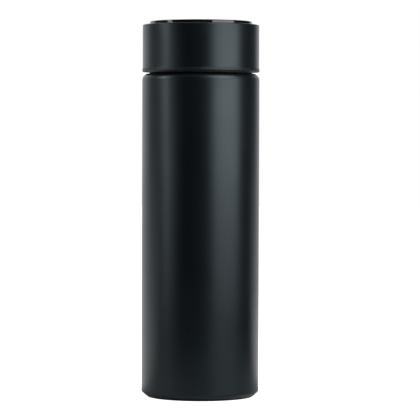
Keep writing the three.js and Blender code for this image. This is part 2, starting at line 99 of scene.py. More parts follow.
def make_camera():
    """The photograph's viewpoint: a long lens, level with the upper body and tipped slightly down."""
    data = bpy.data.cameras.new("camera")
    data.lens = LENS_MM
    data.sensor_width = 36.0
    data.clip_start = 0.05
    data.clip_end = 30.0
    camera = shown("camera", data)
    camera.location = (CAMERA_SIDE, -CAMERA_DISTANCE, EYE_HEIGHT)
    camera.rotation_euler = (math.radians(90 - PITCH_DOWN), math.radians(ROLL), 0.0)
    bpy.context.scene.camera = camera


# -------------------------------------------- node trees

class Tree:
    """A world's or a material's node tree, with short ways to add and join nodes."""

    def __init__(self, owner):
        owner.use_nodes = True
        self.tree = owner.node_tree

    def add(self, kind, inputs=(), **settings):
        """Adds a node. An input is another node's output, or a value."""
        node = self.tree.nodes.new(kind)
        for key, value in settings.items():
            setattr(node, key, value)
        for key, value in dict(inputs).items():
            self.put(node.inputs[key], value)
        return node

    def put(self, socket, value):
        """Links an output to a socket, or sets the socket to a value."""
        if isinstance(value, bpy.types.NodeSocket):
            self.tree.links.new(value, socket)
        else:
            socket.default_value = value

    def maths(self, operation, *values):
        return self.add("ShaderNodeMath", enumerate(values), operation=operation).outputs["Value"]

    def spread(self, value, low, high, start=0.3, end=0.7, **settings):
        """Low where the value is at the start, high where it is at the end."""
        inputs = {"Value": value, "From Min": start, "From Max": end, "To Min": low, "To Max": high}
        return self.add("ShaderNodeMapRange", inputs, **settings).outputs["Result"]

    def camera_ray(self):
        """1 for a ray from the camera, 0 for a reflected or lighting one."""
        return self.add("ShaderNodeLightPath").outputs["Is Camera Ray"]


class Surface(Tree):
    """A new material, textured in the piece's own coordinates."""

    def __init__(self, name):
        self.material = bpy.data.materials.new(name)
        super().__init__(self.material)
        self.shader = self.tree.nodes["Principled BSDF"]
        self.place = self.add("ShaderNodeTexCoord").outputs["Object"]

    def done(self, **values):
        """Sets the shader's inputs and gives the material."""
        for key, value in values.items():
            self.put(self.shader.inputs[key.replace("_", " ")], value)
        return self.material

    def noise(self, scale, detail=2.0, roughness=0.5, vector=None):
        """Noise from 0 to 1, with its scale in features a metre."""
        inputs = {"Vector": vector or self.place, "Scale": scale, "Detail": detail, "Roughness": roughness}
        return self.add("ShaderNodeTexNoise", inputs).outputs["Fac"]

    def blend(self, factor, first, second):
        inputs = {"Factor": factor, "A": first, "B": second}
        return self.add("ShaderNodeMix", inputs, data_type="RGBA").outputs["Result"]

    def bump(self, height, distance, strength):
        inputs = {"Height": height, "Distance": distance, "Strength": strength}
        return self.add("ShaderNodeBump", inputs).outputs["Normal"]

    def window(self, centre, size, soft):
        """1 inside a rectangle in the XY plane, 0 outside, with a soft edge. Metres."""
        axes = self.add("ShaderNodeSeparateXYZ", {"Vector": self.place}).outputs
        sides = []
        for axis, middle, length in zip("XY", centre, size):
            far = self.maths("ABSOLUTE", self.maths("SUBTRACT", axes[axis], middle))
            sides.append(self.spread(far, 1.0, 0.0, length / 2 - soft, length / 2))
        return self.maths("MULTIPLY", *sides)

    def stretched(self, x, y, z):
        """Object coordinates scaled by a different amount along each axis."""
        return self.add("ShaderNodeMapping", {"Vector": self.place, "Scale": (x, y, z)}).outputs["Vector"]

    def turned(self, across, along):
        """Coordinates for marks that run round the Z axis: radius and height, but hardly any angle."""
        axes = self.add("ShaderNodeSeparateXYZ", {"Vector": self.place}).outputs
        flat = self.add("ShaderNodeCombineXYZ", {"X": axes["X"], "Y": axes["Y"]}).outputs["Vector"]
        radius = self.add("ShaderNodeVectorMath", {0: flat}, operation="LENGTH").outputs["Value"]
        marks = {
            "X": self.maths("MULTIPLY", axes["X"], along),
            "Y": self.maths("MULTIPLY", axes["Y"], along),
            "Z": self.maths("MULTIPLY", self.maths("ADD", radius, axes["Z"]), across),
        }
        return self.add("ShaderNodeCombineXYZ", marks).outputs["Vector"]


def rgb(red, green, blue):
    """An opaque colour, in linear light."""
    return (red, green, blue, 1.0)


# -------------------------------------------- studio

# Azimuth in degrees, distance, (width, height), height of the lower edge, radiance, tilt in degrees
LIGHTS = {
    "key_low": (51, 0.7, (0.69, 0.24), 0.09, 5.85, 0),
    "key_high": (51, 0.7, (0.69, 0.76), 0.44, 6.4, 0),
    "rim": (-77.5, 0.9, (0.18, 0.96), 0.04, 4.7, 20),
    "rim_top": (-84, 0.9, (0.18, 0.55), 0.45, 6.0, 0),
    "low_left": (-57, 0.9, (0.26, 0.16), 0.04, 1.5, 0),
}


def area_light(name, azimuth, distance, size, low, radiance, tilt):
    """A softbox that faces the flask's axis. Azimuth 0 is on the camera's side, 90 on its right."""
    width, height = size
    data = bpy.data.lights.new(name, "AREA")
    data.shape = "RECTANGLE"
    data.size = width
    data.size_y = height
    data.energy = radiance * math.pi * width * height
    light = shown(name, data)
    a = math.radians(azimuth)
    light.location = (distance * math.sin(a), -distance * math.cos(a), low + height / 2)
    turn = Matrix.Rotation(a, 3, "Z") @ Matrix.Rotation(math.radians(90), 3, "X")
    light.rotation_euler = (turn @ Matrix.Rotation(math.radians(tilt), 3, "Z")).to_euler()
    light.visible_camera = False


# Direction, cosines of the angles to it where a glow starts and where it is full, radiance at both
GLOWS = (
    ((-0.156, 0.988, 0.0), 0.61, 0.74, 0.025, 1.45),    # bright back
    ((-0.966, 0.259, 0.0), 0.80, 0.95, 0.0, 0.22),      # faint left side
    ((0.0, 0.0, 1.0), 0.7, 0.97, 0.0, 0.35),            # soft ceiling
)


def make_world():
    """White to the camera. The flask sees the glows, a touch cool, and a dark front."""
    world = bpy.data.worlds.new("studio")
    bpy.context.scene.world = world
    n = Tree(world)
    n.tree.nodes.clear()
    way = n.add("ShaderNodeTexCoord").outputs["Generated"]
    level = 0.0
    for towards, start, end, low, high in GLOWS:
        facing = n.add("ShaderNodeVectorMath", {0: way, 1: towards}, operation="DOT_PRODUCT")
        facing = facing.outputs["Value"]
        glow = n.spread(facing, low, high, start, end, interpolation_type="SMOOTHSTEP")
        level = n.maths("MAXIMUM", level, glow)
    lit = n.add("ShaderNodeBackground", {"Color": rgb(0.75, 0.8, 0.825), "Strength": level})
    seen = n.add("ShaderNodeBackground", {"Color": rgb(1.0, 1.0, 1.0)})
    inputs = {0: n.camera_ray(), 1: lit.outputs["Background"], 2: seen.outputs["Background"]}
    mix = n.add("ShaderNodeMixShader", inputs).outputs["Shader"]
    n.add("ShaderNodeOutputWorld", {"Surface": mix})


def stage_mesh(name, verts, grey, glow, glow_seen):
    """A flat piece of the set. Part of its glow shows only to the camera, which keeps it white."""
    mesh = bpy.data.meshes.new(name)
    mesh.from_pydata(verts, [], [tuple(range(len(verts)))])
    n = Surface(name)
    mesh.materials.append(n.done(
        Base_Color=rgb(grey, grey, grey),
        Roughness=0.9,
        Specular_IOR_Level=0.0,
        Emission_Color=rgb(1.0, 1.0, 1.0),
        Emission_Strength=n.maths("MULTIPLY_ADD", n.camera_ray(), glow_seen, glow),
    ))
    shown(name, mesh)


def make_floor():
    """A pale round table top, and a lit sweep behind it that runs into the backdrop."""
    table_r, wide, deep = 0.17, 4.0, 4.0
    right, left = math.radians(28), math.radians(181)
    steps = 48
    front = [left + (2 * math.pi + right - left) * k / steps for k in range(steps + 1)]
    rim = [(table_r * math.cos(a), table_r * math.sin(a), 0.0) for a in front]
    stage_mesh("table_top", rim, grey=0.65, glow=0.0, glow_seen=0.85)
    sweep = [rim[0], rim[-1], (wide, wide * math.tan(right), 0.0), (wide, deep, 0.0)]
    sweep += [(-wide, deep, 0.0), (-wide, -wide * math.tan(left), 0.0)]
    stage_mesh("backdrop_sweep", sweep, grey=0.8, glow=0.75, glow_seen=0.3)


# -------------------------------------------- materials

def body_paint(name, gloss_low, gloss_high):
    """Satin black powder coat: an even fine grain, with a little cloudiness in its gloss."""
    n = Surface(name)
    cloud = n.noise(35, 3)
    grain = n.noise(2600, 2)
    return n.done(
        Base_Color=n.blend(grain, rgb(0.0011, 0.0022, 0.0029), rgb(0.0021, 0.0038, 0.0047)),
        Roughness=n.spread(cloud, gloss_low, gloss_high),
        IOR=1.42,
        Specular_Tint=rgb(0.77, 0.92, 1.0),
        Normal=n.bump(grain, 0.00001, 0.35),
    )


def lens_black():
    """Polished black touch lens, with a faint wiped film and a barely lighter display window."""
    n = Surface("lens_black")
    film = n.noise(60, 4, 0.6)
    ink = n.blend(film, rgb(0.003, 0.0034, 0.0038), rgb(0.005, 0.0055, 0.006))
    inside = n.window(WINDOW_CENTRE, WINDOW_SIZE, 0.0004)
    return n.done(
        Base_Color=n.blend(inside, ink, rgb(0.012, 0.0125, 0.013)),
        Roughness=n.spread(film, 0.03, 0.07),
        IOR=1.42,
    )


def bare_steel(name, dark, light, rough_low, rough_high):
    """Bare stainless steel with fine turning marks round the axis."""
    n = Surface(name)
    lines = n.noise(1.0, 3, 0.6, n.turned(9000, 60))
    cloud = n.noise(45, 3)
    return n.done(
        Base_Color=n.blend(cloud, rgb(*dark), rgb(*light)),
        Metallic=1.0,
        Roughness=n.spread(lines, rough_low, rough_high),
        Normal=n.bump(lines, 0.00002, 0.25),
    )


def black_plastic():
    """Moulded black polypropylene with a spark-eroded texture."""
    n = Surface("black_plastic")
    grain = n.noise(1800, 3, 0.6)
    cloud = n.noise(50, 2)
    return n.done(
        Base_Color=n.blend(cloud, rgb(0.010, 0.0105, 0.011), rgb(0.017, 0.0175, 0.018)),
        Roughness=n.spread(cloud, 0.5, 0.6),
        Normal=n.bump(grain, 0.00004, 0.5),
    )


def seal_silicone():
    """Translucent grey silicone, dusty in places."""
    n = Surface("seal_silicone")
    dust = n.noise(300, 4, 0.7)
    return n.done(
        Base_Color=n.blend(n.spread(dust, 0.0, 1.0, 0.55, 0.7), rgb(0.50, 0.52, 0.53), rgb(0.66, 0.67, 0.67)),
        Roughness=n.spread(dust, 0.38, 0.55),
        Subsurface_Weight=0.25,
        Subsurface_Radius=(0.0015, 0.0015, 0.0015),
        Normal=n.bump(dust, 0.00003, 0.2),
    )


def foot_rubber():
    """Dry black rubber with a fine matt grain and paler rubbed specks."""
    n = Surface("foot_rubber")
    grain = n.noise(1500, 3, 0.6)
    specks = n.spread(n.noise(500, 4, 0.7), 0.0, 1.0, 0.6, 0.75)
    return n.done(
        Base_Color=n.blend(specks, rgb(0.016, 0.016, 0.016), rgb(0.04, 0.039, 0.038)),
        Roughness=0.78,
        Normal=n.bump(grain, 0.00005, 0.6),
    )


def spring_steel():
    """Plated spring sheet with fine rolling lines and duller patches."""
    n = Surface("spring_steel")
    lines = n.noise(1.0, 3, 0.6, n.stretched(6000, 400, 400))
    cloud = n.noise(220, 3)
    return n.done(
        Base_Color=n.blend(cloud, rgb(0.60, 0.58, 0.52), rgb(0.72, 0.70, 0.64)),
        Metallic=1.0,
        Roughness=n.spread(lines, 0.24, 0.42),
        Normal=n.bump(lines, 0.00001, 0.3),
    )


def copper_foil():
    """Thin copper foil, crinkled and slightly browned in patches."""
    n = Surface("copper_foil")
    creases = n.add("ShaderNodeTexVoronoi", {"Vector": n.place, "Scale": 160}, feature="DISTANCE_TO_EDGE")
    patches = n.noise(60, 4, 0.6)
    return n.done(
        Base_Color=n.blend(patches, rgb(0.62, 0.30, 0.16), rgb(0.86, 0.50, 0.33)),
        Metallic=1.0,
        Roughness=n.spread(patches, 0.32, 0.16),
        Normal=n.bump(n.spread(creases.outputs["Distance"], 0.0, 1.0, 0.0, 0.12), 0.0001, 0.5),
    )


def insulating_foam():
    """Off-white closed-cell foam with fine pores."""
    n = Surface("foam")
    cells = n.add("ShaderNodeTexVoronoi", {"Vector": n.place, "Scale": 1400}).outputs["Distance"]
    shade = n.noise(120, 3)
    return n.done(
        Base_Color=n.blend(n.spread(cells, 0.0, 1.0, 0.1, 0.6), rgb(0.60, 0.58, 0.52), rgb(0.80, 0.79, 0.74)),
        Roughness=n.spread(shade, 0.88, 0.97),
        Normal=n.bump(cells, 0.0002, 0.7),
    )


def board_green():
    """Green solder mask over woven glass."""
    n = Surface("board_green")
    weave = n.add("ShaderNodeTexChecker", {"Vector": n.place, "Scale": 2400}).outputs["Fac"]
    cloud = n.noise(150, 4)
    mask = n.blend(cloud, rgb(0.006, 0.062, 0.026), rgb(0.010, 0.088, 0.038))
    return n.done(
        Base_Color=n.blend(weave, mask, rgb(0.012, 0.096, 0.044)),
        Roughness=n.spread(cloud, 0.26, 0.38),
        Normal=n.bump(weave, 0.00001, 0.3),
    )


def moulded(name, dark, light, rough_low, rough_high, scale, depth, metallic=0.0):
    """A moulded, cut or plated surface: clouded colour, uneven gloss and a fine grain."""
    n = Surface(name)
    cloud = n.noise(scale / 12, 3)
    grain = n.noise(scale, 3, 0.6)
    return n.done(
        Base_Color=n.blend(cloud, rgb(*dark), rgb(*light)),
        Metallic=metallic,
        Roughness=n.spread(grain, rough_low, rough_high),
        Normal=n.bump(grain, depth, 0.5),
    )


def seal_glass():
    """Grey-green solder glass, cloudy and faintly bubbled."""
    n = Surface("seal_glass")
    cloud = n.noise(400, 3)
    bubbles = n.add("ShaderNodeTexVoronoi", {"Vector": n.place, "Scale": 1800}).outputs["Distance"]
    return n.done(
        Base_Color=n.blend(cloud, rgb(0.46, 0.60, 0.55), rgb(0.66, 0.76, 0.72)),
        Roughness=n.spread(cloud, 0.06, 0.16),
        Transmission_Weight=0.55,
        IOR=1.6,
        Normal=n.bump(bubbles, 0.00003, 0.25),
    )


def getter_grey():
    """Dull sintered metal powder, pitted all over."""
    n = Surface("getter_grey")
    pits = n.noise(2600, 5, 0.75)
    return n.done(
        Base_Color=n.blend(pits, rgb(0.08, 0.077, 0.072), rgb(0.24, 0.235, 0.225)),
        Metallic=0.5,
        Roughness=n.spread(pits, 0.7, 0.9),
        Normal=n.bump(pits, 0.00008, 0.8),
    )


# -------------------------------------------- mesh tools

def polar(radius, degrees):
    """The point at a radius and an angle, as x and y."""
    a = math.radians(degrees)
    return radius * math.cos(a), radius * math.sin(a)


def arc(centre, radius, start, end, steps):
    """Points on an arc, ends included; angles in degrees."""
    spots = (polar(radius, start + (end - start) * i / steps) for i in range(steps + 1))
    return [(centre[0] + x, centre[1] + y) for x, y in spots]


def rounded(corners, closed=False, steps=4):
    """Replaces each corner (x, y, rounding) of an outline by a tangent arc."""
    points = []
    count = len(corners)
    for i, corner in enumerate(corners):
        here = Vector(corner[:2])
        rounding = corner[2] if len(corner) > 2 else 0.0
        if rounding == 0.0 or (not closed and i in (0, count - 1)):
            points.append(tuple(here))
            continue
        before = (Vector(corners[i - 1][:2]) - here).normalized()
        after = (Vector(corners[(i + 1) % count][:2]) - here).normalized()
        half = before.angle(after) / 2
        centre = here + (before + after).normalized() * (rounding / math.sin(half))
        first = here + before * (rounding / math.tan(half)) - centre
        sweep = first.angle_signed(here + after * (rounding / math.tan(half)) - centre)
        for k in range(steps + 1):
            turned = Matrix.Rotation(-sweep * k / steps, 2) @ first
            points.append(tuple(centre + turned))
    return points


def dense(start, end, spacing):
    """Points from start to end, evenly spaced, without the last."""
    steps = max(1, round(math.dist(start, end) / spacing))
    return [tuple(a + (b - a) * i / steps for a, b in zip(start, end)) for i in range(steps)]


def shifted(path, distance, closed=False):
    """The path moved to its left by a distance, with mitred corners."""
    moved = []
    last = len(path) - 1
    for i, point in enumerate(path):
        here = Vector(point)
        into = (here - Vector(path[i - 1])).normalized() if i > 0 or closed else None
        away = (Vector(path[(i + 1) % len(path)]) - here).normalized() if i < last or closed else None
        into = into or away
        away = away or into
        reach = distance / (1 + into.dot(away))
        moved.append((point[0] - (into.y + away.y) * reach, point[1] + (into.x + away.x) * reach))
    return moved


def sheet(path, thickness):
    """A closed profile: the path, and the same path moved to its left by the thickness."""
    return path + shifted(path, thickness)[::-1]


class Form:
    """Points in millimetres and the faces between them, with a material number for each face."""

    def __init__(self, points, faces, inks=None):
        self.points = points
        self.faces = faces
        self.inks = inks or [0] * len(faces)

    def __add__(self, other):
        """Both forms in one."""
        first = len(self.points)
        faces = self.faces + [[i + first for i in face] for face in other.faces]
        return Form(self.points + other.points, faces, self.inks + other.inks)

    def moved(self, x=0.0, y=0.0, z=0.0, turn=0.0):
        """The same form, turned about Z by some degrees and then moved."""
        c, s = polar(1.0, turn)
        points = [(px * c - py * s + x, px * s + py * c + y, pz + z) for px, py, pz in self.points]
        return Form(points, self.faces, self.inks)

    def stood(self):
        """The same form, tipped up about X, so that its outline stands on edge."""
        return Form([(x, -z, y) for x, y, z in self.points], self.faces, self.inks)

    def on_lid(self):
        """The same form, lifted from the lid's own heights to the flask's."""
        return self.moved(z=SHOULDER_Z)

    def on_deck(self):
        """The same form, lifted from the display's own heights to the flask's."""
        return self.moved(z=DISPLAY_Z)

    def inked(self, number):
        """The same form, with every face in one material of the piece."""
        return Form(self.points, self.faces, [number] * len(self.faces))

    def build(self, name, *materials):
        """Makes the form a smooth-shaded object, in metres."""
        mesh = bpy.data.meshes.new(name)
        mesh.from_pydata([[v * MM for v in point] for point in self.points], [], self.faces)
        for face, ink in zip(mesh.polygons, self.inks):
            face.material_index = ink
        for material in materials:
            mesh.materials.append(material)
        finished(mesh)
        return shown(name, mesh)


def finished(mesh):
    """Turns faces outwards and smooths them, with edges sharp where they turn a clear corner."""
    work = bmesh.new()
    work.from_mesh(mesh)
    bmesh.ops.recalc_face_normals(work, faces=work.faces)
    work.to_mesh(mesh)
    work.free()
    mesh.validate()
    mesh.shade_smooth()
    mesh.set_sharp_from_angle(angle=math.radians(SHARP_DEGREES))


def joined(forms):
    """Several forms as one."""
    forms = list(forms)
    whole = forms[0]
    for form in forms[1:]:
        whole = whole + form
    return whole


def around(form, posts):
    """Copies of a form on a circle, one at each angle."""
    radius, angles = posts
    return joined(form.moved(*polar(radius, degrees)) for degrees in angles)


def lathe(profile, segments=SEGMENTS, relief=None):
    """A solid of revolution about Z from [radius, height] points. Points on the axis become one
    vertex, and a profile that leaves the axis closes on itself. relief(angle, radius, height)
    gives a new radius."""
    points, rings = [], []
    for radius, height in profile:
        if radius < SAME:
            rings.append([len(points)] * segments)
            points.append((0.0, 0.0, height))
            continue
        ring = []
        for k in range(segments):
            a = 2 * math.pi * k / segments
            r = relief(a, radius, height) if relief else radius
            ring.append(len(points))
            points.append((r * math.cos(a), r * math.sin(a), height))
        rings.append(ring)
    on_axis = profile[0][0] < SAME and profile[-1][0] < SAME
    pairs = list(zip(rings, rings[1:])) + ([] if on_axis else [(rings[-1], rings[0])])
    faces = []
    for low, high in pairs:
        for k in range(segments):
            n = (k + 1) % segments
            corners = [low[k], low[n], high[n], high[k]]
            face = [v for i, v in enumerate(corners) if v != corners[i - 1]]
            if len(face) > 2:
                faces.append(face)
    return Form(points, faces)


def disc(radius, low, high, segments=TINY):
    """A plain upright pin, turned a little so that its edges never line up with a carved piece's."""
    return lathe([(0.0, low), (radius, low), (radius, high), (0.0, high)], segments).moved(turn=PIN_TURN)


def stacked(rings):
    """A solid skin over rings of as many points each, with a flat face at both ends."""
    n = len(rings[0])
    last = n * (len(rings) - 1)
    faces = [list(range(n))[::-1], list(range(last, last + n))]
    for base in range(0, last, n):
        for k in range(n):
            m = (k + 1) % n
            faces.append([base + k, base + m, base + n + m, base + n + k])
    return Form([point for ring in rings for point in ring], faces)


def prism(outline, low, high, edge=0.0):
    """An upright solid on an anticlockwise outline, with its top and bottom edges chamfered."""
    levels = [(outline, low + edge), (outline, high - edge)]
    if edge:
        inner = shifted(outline, edge, closed=True)
        levels = [(inner, low)] + levels + [(inner, high)]
    return stacked([[(x, y, z) for x, y in ring] for ring, z in levels])


def oblong(width, depth, rounding=0.0, steps=4):
    """A rectangle's outline about the origin, with round corners."""
    x, y = width / 2, depth / 2
    corners = [(x, -y, rounding), (x, y, rounding), (-x, y, rounding), (-x, -y, rounding)]
    return rounded(corners, closed=True, steps=steps)


def tube(path, radius, sides=12):
    """A round bar along a path of points, with flat ends."""
    spots = [Vector(point) for point in path]
    last = len(spots) - 1
    across = (spots[1] - spots[0]).orthogonal().normalized()
    rings = []
    for i, spot in enumerate(spots):
        way = (spots[min(i + 1, last)] - spots[max(i - 1, 0)]).normalized()
        across = (across - way * across.dot(way)).normalized()
        other = way.cross(across)
        turns = (polar(radius, 360 * k / sides) for k in range(sides))
        rings.append([tuple(spot + across * u + other * v) for u, v in turns])
    return stacked(rings)


def eased(points, steps):
    """A smooth curve through points, with some steps between each two."""
    spots = [Vector(point) for point in points]
    ends = [spots[0] * 2 - spots[1]] + spots + [spots[-1] * 2 - spots[-2]]
    path = []
    for a, b, c, d in zip(ends, ends[1:], ends[2:], ends[3:]):
        for k in range(steps):
            t = k / steps
            cubic = (3 * (b - c) + d - a) * t ** 3 + (2 * a - 5 * b + 4 * c - d) * t ** 2
            path.append(b + (cubic + (c - a) * t) / 2)
    return path + [spots[-1]]


def carve(piece, operation, tool_form):
    """Cuts a form out of a piece, joins the two, or keeps what they share."""
    tool = tool_form.build("carving_tool")
    modifier = piece.modifiers.new("carve", "BOOLEAN")
    modifier.operation = operation
    modifier.object = tool
    shaped = piece.evaluated_get(bpy.context.evaluated_depsgraph_get())
    mesh = bpy.data.meshes.new_from_object(shaped)
    piece.modifiers.clear()
    piece.data = mesh
    bpy.data.objects.remove(tool)
    finished(mesh)


def place(form, name, body, slot, *materials, added=None, kept=None, cut=None):
    """Builds and carves a form. The piece rides on a body. Its slot is not used."""
    piece = form.build(name, *materials)
    for operation, tool_form in (("UNION", added), ("INTERSECT", kept), ("DIFFERENCE", cut)):
        if tool_form:
            carve(piece, operation, tool_form)
    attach(piece, body)
    return piece


def stand_in(form, node, *settings, **carving):
    """Places the fine piece that stands for a CAD node."""
    piece = place(form, f"{node}_fine", *settings, **carving)
    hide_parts(node)
    return piece


def ridge(angle, height, start_height, degrees, widths, fade=40.0):
    """How far a screw-thread ridge stands out, from 0 to 1, at an angle and a height."""
    most = 0.0
    base, crest = widths[0] / 2, widths[1] / 2
    turn = math.degrees(angle) % 360
    while turn <= degrees[1]:
        if turn >= degrees[0]:
            off = abs(height - start_height - THREAD_PITCH * turn / 360)
            rise = min(max((base - off) / (base - crest), 0.0), 1.0)
            ends = min((turn - degrees[0]) / fade, (degrees[1] - turn) / fade, 1.0)
            most = max(most, rise * rise * (3 - 2 * rise) * ends)
        turn += 360
    return most


def fine_thread(root_r, depth, pitch):
    """A relief that cuts a fine V thread into one radius of a profile."""
    def relief(angle, radius, height):
        if abs(radius - root_r) > SAME:
            return radius
        phase = (height / pitch - angle / (2 * math.pi)) % 1.0
        return radius - depth * abs(2 * phase - 1)
    return relief


# -------------------------------------------- bottle

def make_outer_shell(paint, steel):
    """The painted wall and shoulder, with a bare steel neck that carries the thread."""
    neck_foot = SHOULDER_Z + 1.4
    neck_top = RIM_UNDER_Z - 0.1
    paint_edge_r = 27.0
    path = rounded([
        (31.4, 0.7),
        (BODY_R, 3.0, 1.2),
        (BODY_R, 60),
        (BODY_R, 120),
        (BODY_R, SHOULDER_Z, SHOULDER_ROUND),
        (paint_edge_r, SHOULDER_Z),
        (NECK_R, SHOULDER_Z, 1.2),
        (NECK_R, neck_foot),
    ], steps=8)
    path += dense((NECK_R, neck_foot + 0.1), (NECK_R, neck_top), 0.15) + [(NECK_R, neck_top)]

    def thread(angle, radius, height):
        if abs(radius - NECK_R) > SAME or height < neck_foot:
            return radius
        return radius + THREAD_DEPTH * ridge(angle, height, THREAD_Z, (0, 580), (2.5, 0.9))

    wall = lathe(sheet(path, 0.5), relief=thread)
    shell = stand_in(wall, "outer_shell", "flask", "body_paint", paint, steel)
    for face in shell.data.polygons:
        if face.center.z > (SHOULDER_Z - 1) * MM and math.hypot(*face.center[:2]) < paint_edge_r * MM:
            face.material_index = 1


def make_inner_liner(steel):
    """The inner wall: round corners, a sweep in to the neck, and a roll over its rim."""
    wall_r, floor_z, throat_r, throat_z, roll = 30.5, 6.9, 23.1, 186.5, 0.7
    corner, sweep = 6.0, 3.0
    corner_r = wall_r - corner
    sweep_r = throat_r + sweep
    rise = math.sqrt((corner + sweep) ** 2 - (sweep_r - corner_r) ** 2)
    turn = math.degrees(math.atan2(rise, sweep_r - corner_r))
    path = [(0.0, floor_z)]
    path += arc((corner_r, floor_z + corner), corner, 270, 360, 12)
    path += dense((wall_r, 13.4), (wall_r, 177.0), 20)
    path += arc((corner_r, throat_z - rise), corner, 0, turn, 12)
    path += arc((sweep_r, throat_z), sweep, 180 + turn, 180, 8)[1:]
    path += arc((throat_r + roll, RIM_UNDER_Z - roll), roll, 180, 90, 6)
    path += [(NECK_R - 0.15, RIM_UNDER_Z), (NECK_R, RIM_UNDER_Z + 0.05)]
    stand_in(lathe(sheet(path, 0.4)), "inner_liner", "flask", "bare_steel", steel)


def make_base_disc(steel):
    """The plate that closes the vacuum, dished up round its pump-out hole."""
    path = rounded([(1.2, 2.9), (7.5, 2.9, 0.8), (9.0, 1.85, 0.8), (31.6, 1.85)], steps=5)
    stand_in(lathe(sheet(path, 0.6)), "base_disc", "flask", "bare_steel", steel)


def make_vacuum_seal_bead(glass):
    """The solder-glass bead that plugs the pump-out hole."""
    profile = rounded([(0.0, 1.95), (2.9, 1.95, 0.3), (3.4, 2.45, 0.25), (3.4, 2.8, 0.1), (0.0, 2.8)])
    stand_in(lathe(profile, SMALL), "vacuum_seal_bead", "flask", "seal_glass", glass)


def make_getter(grey, spring):
    """A sintered pellet on a sprung strap, off centre under the liner."""
    off_centre = 14
    tablet = lathe(rounded([(0.0, 0.0), (4.0, 0.0, 0.35), (4.0, 1.6, 0.35), (0.0, 1.6)]), SMALL)
    stand_in(tablet.moved(off_centre, 0, 5.2), "getter_pellet", "flask", "getter_grey", grey)
    end, rise, bend, thick = 8, 2.1, 0.7, 0.4
    outline = rounded([
        (-end, 0, bend), (end, 0, bend), (end, rise), (end - thick, rise),
        (end - thick, thick, bend - thick), (thick - end, thick, bend - thick),
        (thick - end, rise), (-end, rise),
    ], closed=True)
    strap = prism(outline, -2, 2).stood().moved(off_centre, 0, 4.7)
    stand_in(strap, "getter_strap", "flask", "spring_steel", spring)


def make_reflector_foil(copper):
    """Copper foil wrapped round the liner, with shallow crinkles."""
    inner_r, outer_r, low, high = 30.8, 30.95, 15.0, 175.0
    up = dense((outer_r, low), (outer_r, high), 2.0) + [(outer_r, high)]

    def crinkle(angle, radius, height):
        long_wave = math.sin(9 * angle + 0.11 * height) * math.sin(0.23 * height - 4 * angle)
        short_wave = math.sin(31 * angle - 0.47 * height) * math.sin(0.39 * height + 13 * angle)
        return radius + 0.07 * long_wave + 0.04 * short_wave

    profile = up + [(inner_r, z) for _, z in reversed(up)]
    stand_in(lathe(profile, relief=crinkle), "reflector_foil", "flask", "copper_foil", copper)


def make_base_cover(plastic):
    """The moulded disc under the base, with a shallow dished middle."""
    corners = [
        (0.0, 1.4), (14.0, 1.4, 0.3), (14.6, 1.15, 0.2), (21.8, 1.15, 0.15), (21.8, 1.65, 0.1), (0.0, 1.65),
    ]
    stand_in(lathe(rounded(corners, steps=3)), "base_cover", "flask", "black_plastic", plastic)


def make_foot_ring(rubber):
    """The rubber ring, with three shallow grooves in its underside."""
    corners = [(22.2, 1.65, 0.1), (22.2, 0.0, 0.3)]
    for groove_r in (24.4, 26.4, 28.4):
        corners += [(groove_r - 0.45, 0.0, 0.1), (groove_r - 0.3, 0.3, 0.08)]
        corners += [(groove_r + 0.3, 0.3, 0.08), (groove_r + 0.45, 0.0, 0.1)]
    corners += [(30.6, 0.0, 0.35), (30.6, 1.65, 0.1)]
    ring = lathe(rounded(corners, closed=True, steps=3))
    stand_in(ring, "foot_ring", "flask", "foot_rubber", rubber)


# -------------------------------------------- seal

def make_seal_ring(silicone):
    """The silicone seal: a band with two lips, and a flange that is squeezed on the rim."""
    corners = [
        (20.85, 9.7, 0.15), (22.0, 9.7, 0.2), (22.4, 10.1, 0.15), (22.0, 10.7, 0.2),
        (22.4, 11.3, 0.15), (22.0, 11.9, 0.2), (22.0, 13.1, 0.25), (24.4, 13.1, 0.3),
        (24.4, 14.0, 0.3), (20.85, 14.0, 0.1),
    ]
    band = lathe(rounded(corners, closed=True, steps=3)).on_lid()
    stand_in(band, "seal_ring", "seal", "seal_silicone", silicone)


# -------------------------------------------- lid

def make_lid_shell(paint, lip_paint):
    """The cap, with a full round lip that carries a thicker, duller coat than its side."""
    lip_r, side_r, lip_top = 34.0, 33.75, 3.1
    path = rounded([
        (lip_r - 0.5, 0.9),
        (lip_r, 0.9, 0.48),
        (lip_r, 1.9, 0.5),
        (side_r + 0.05, 2.9, 0.5),
        (side_r, 3.4, 0.3),
        (side_r, 10),
        (side_r, 20),
        (side_r, 28.2, 0.8),
        (30.1, 28.3),
    ], steps=8)
    cap = lathe(sheet(path, 0.6)).on_lid()
    shell = stand_in(cap, "lid_shell", "lid", "body_paint", paint, lip_paint)
    for face in shell.data.polygons:
        if face.center.z < (SHOULDER_Z + lip_top) * MM:
            face.material_index = 1


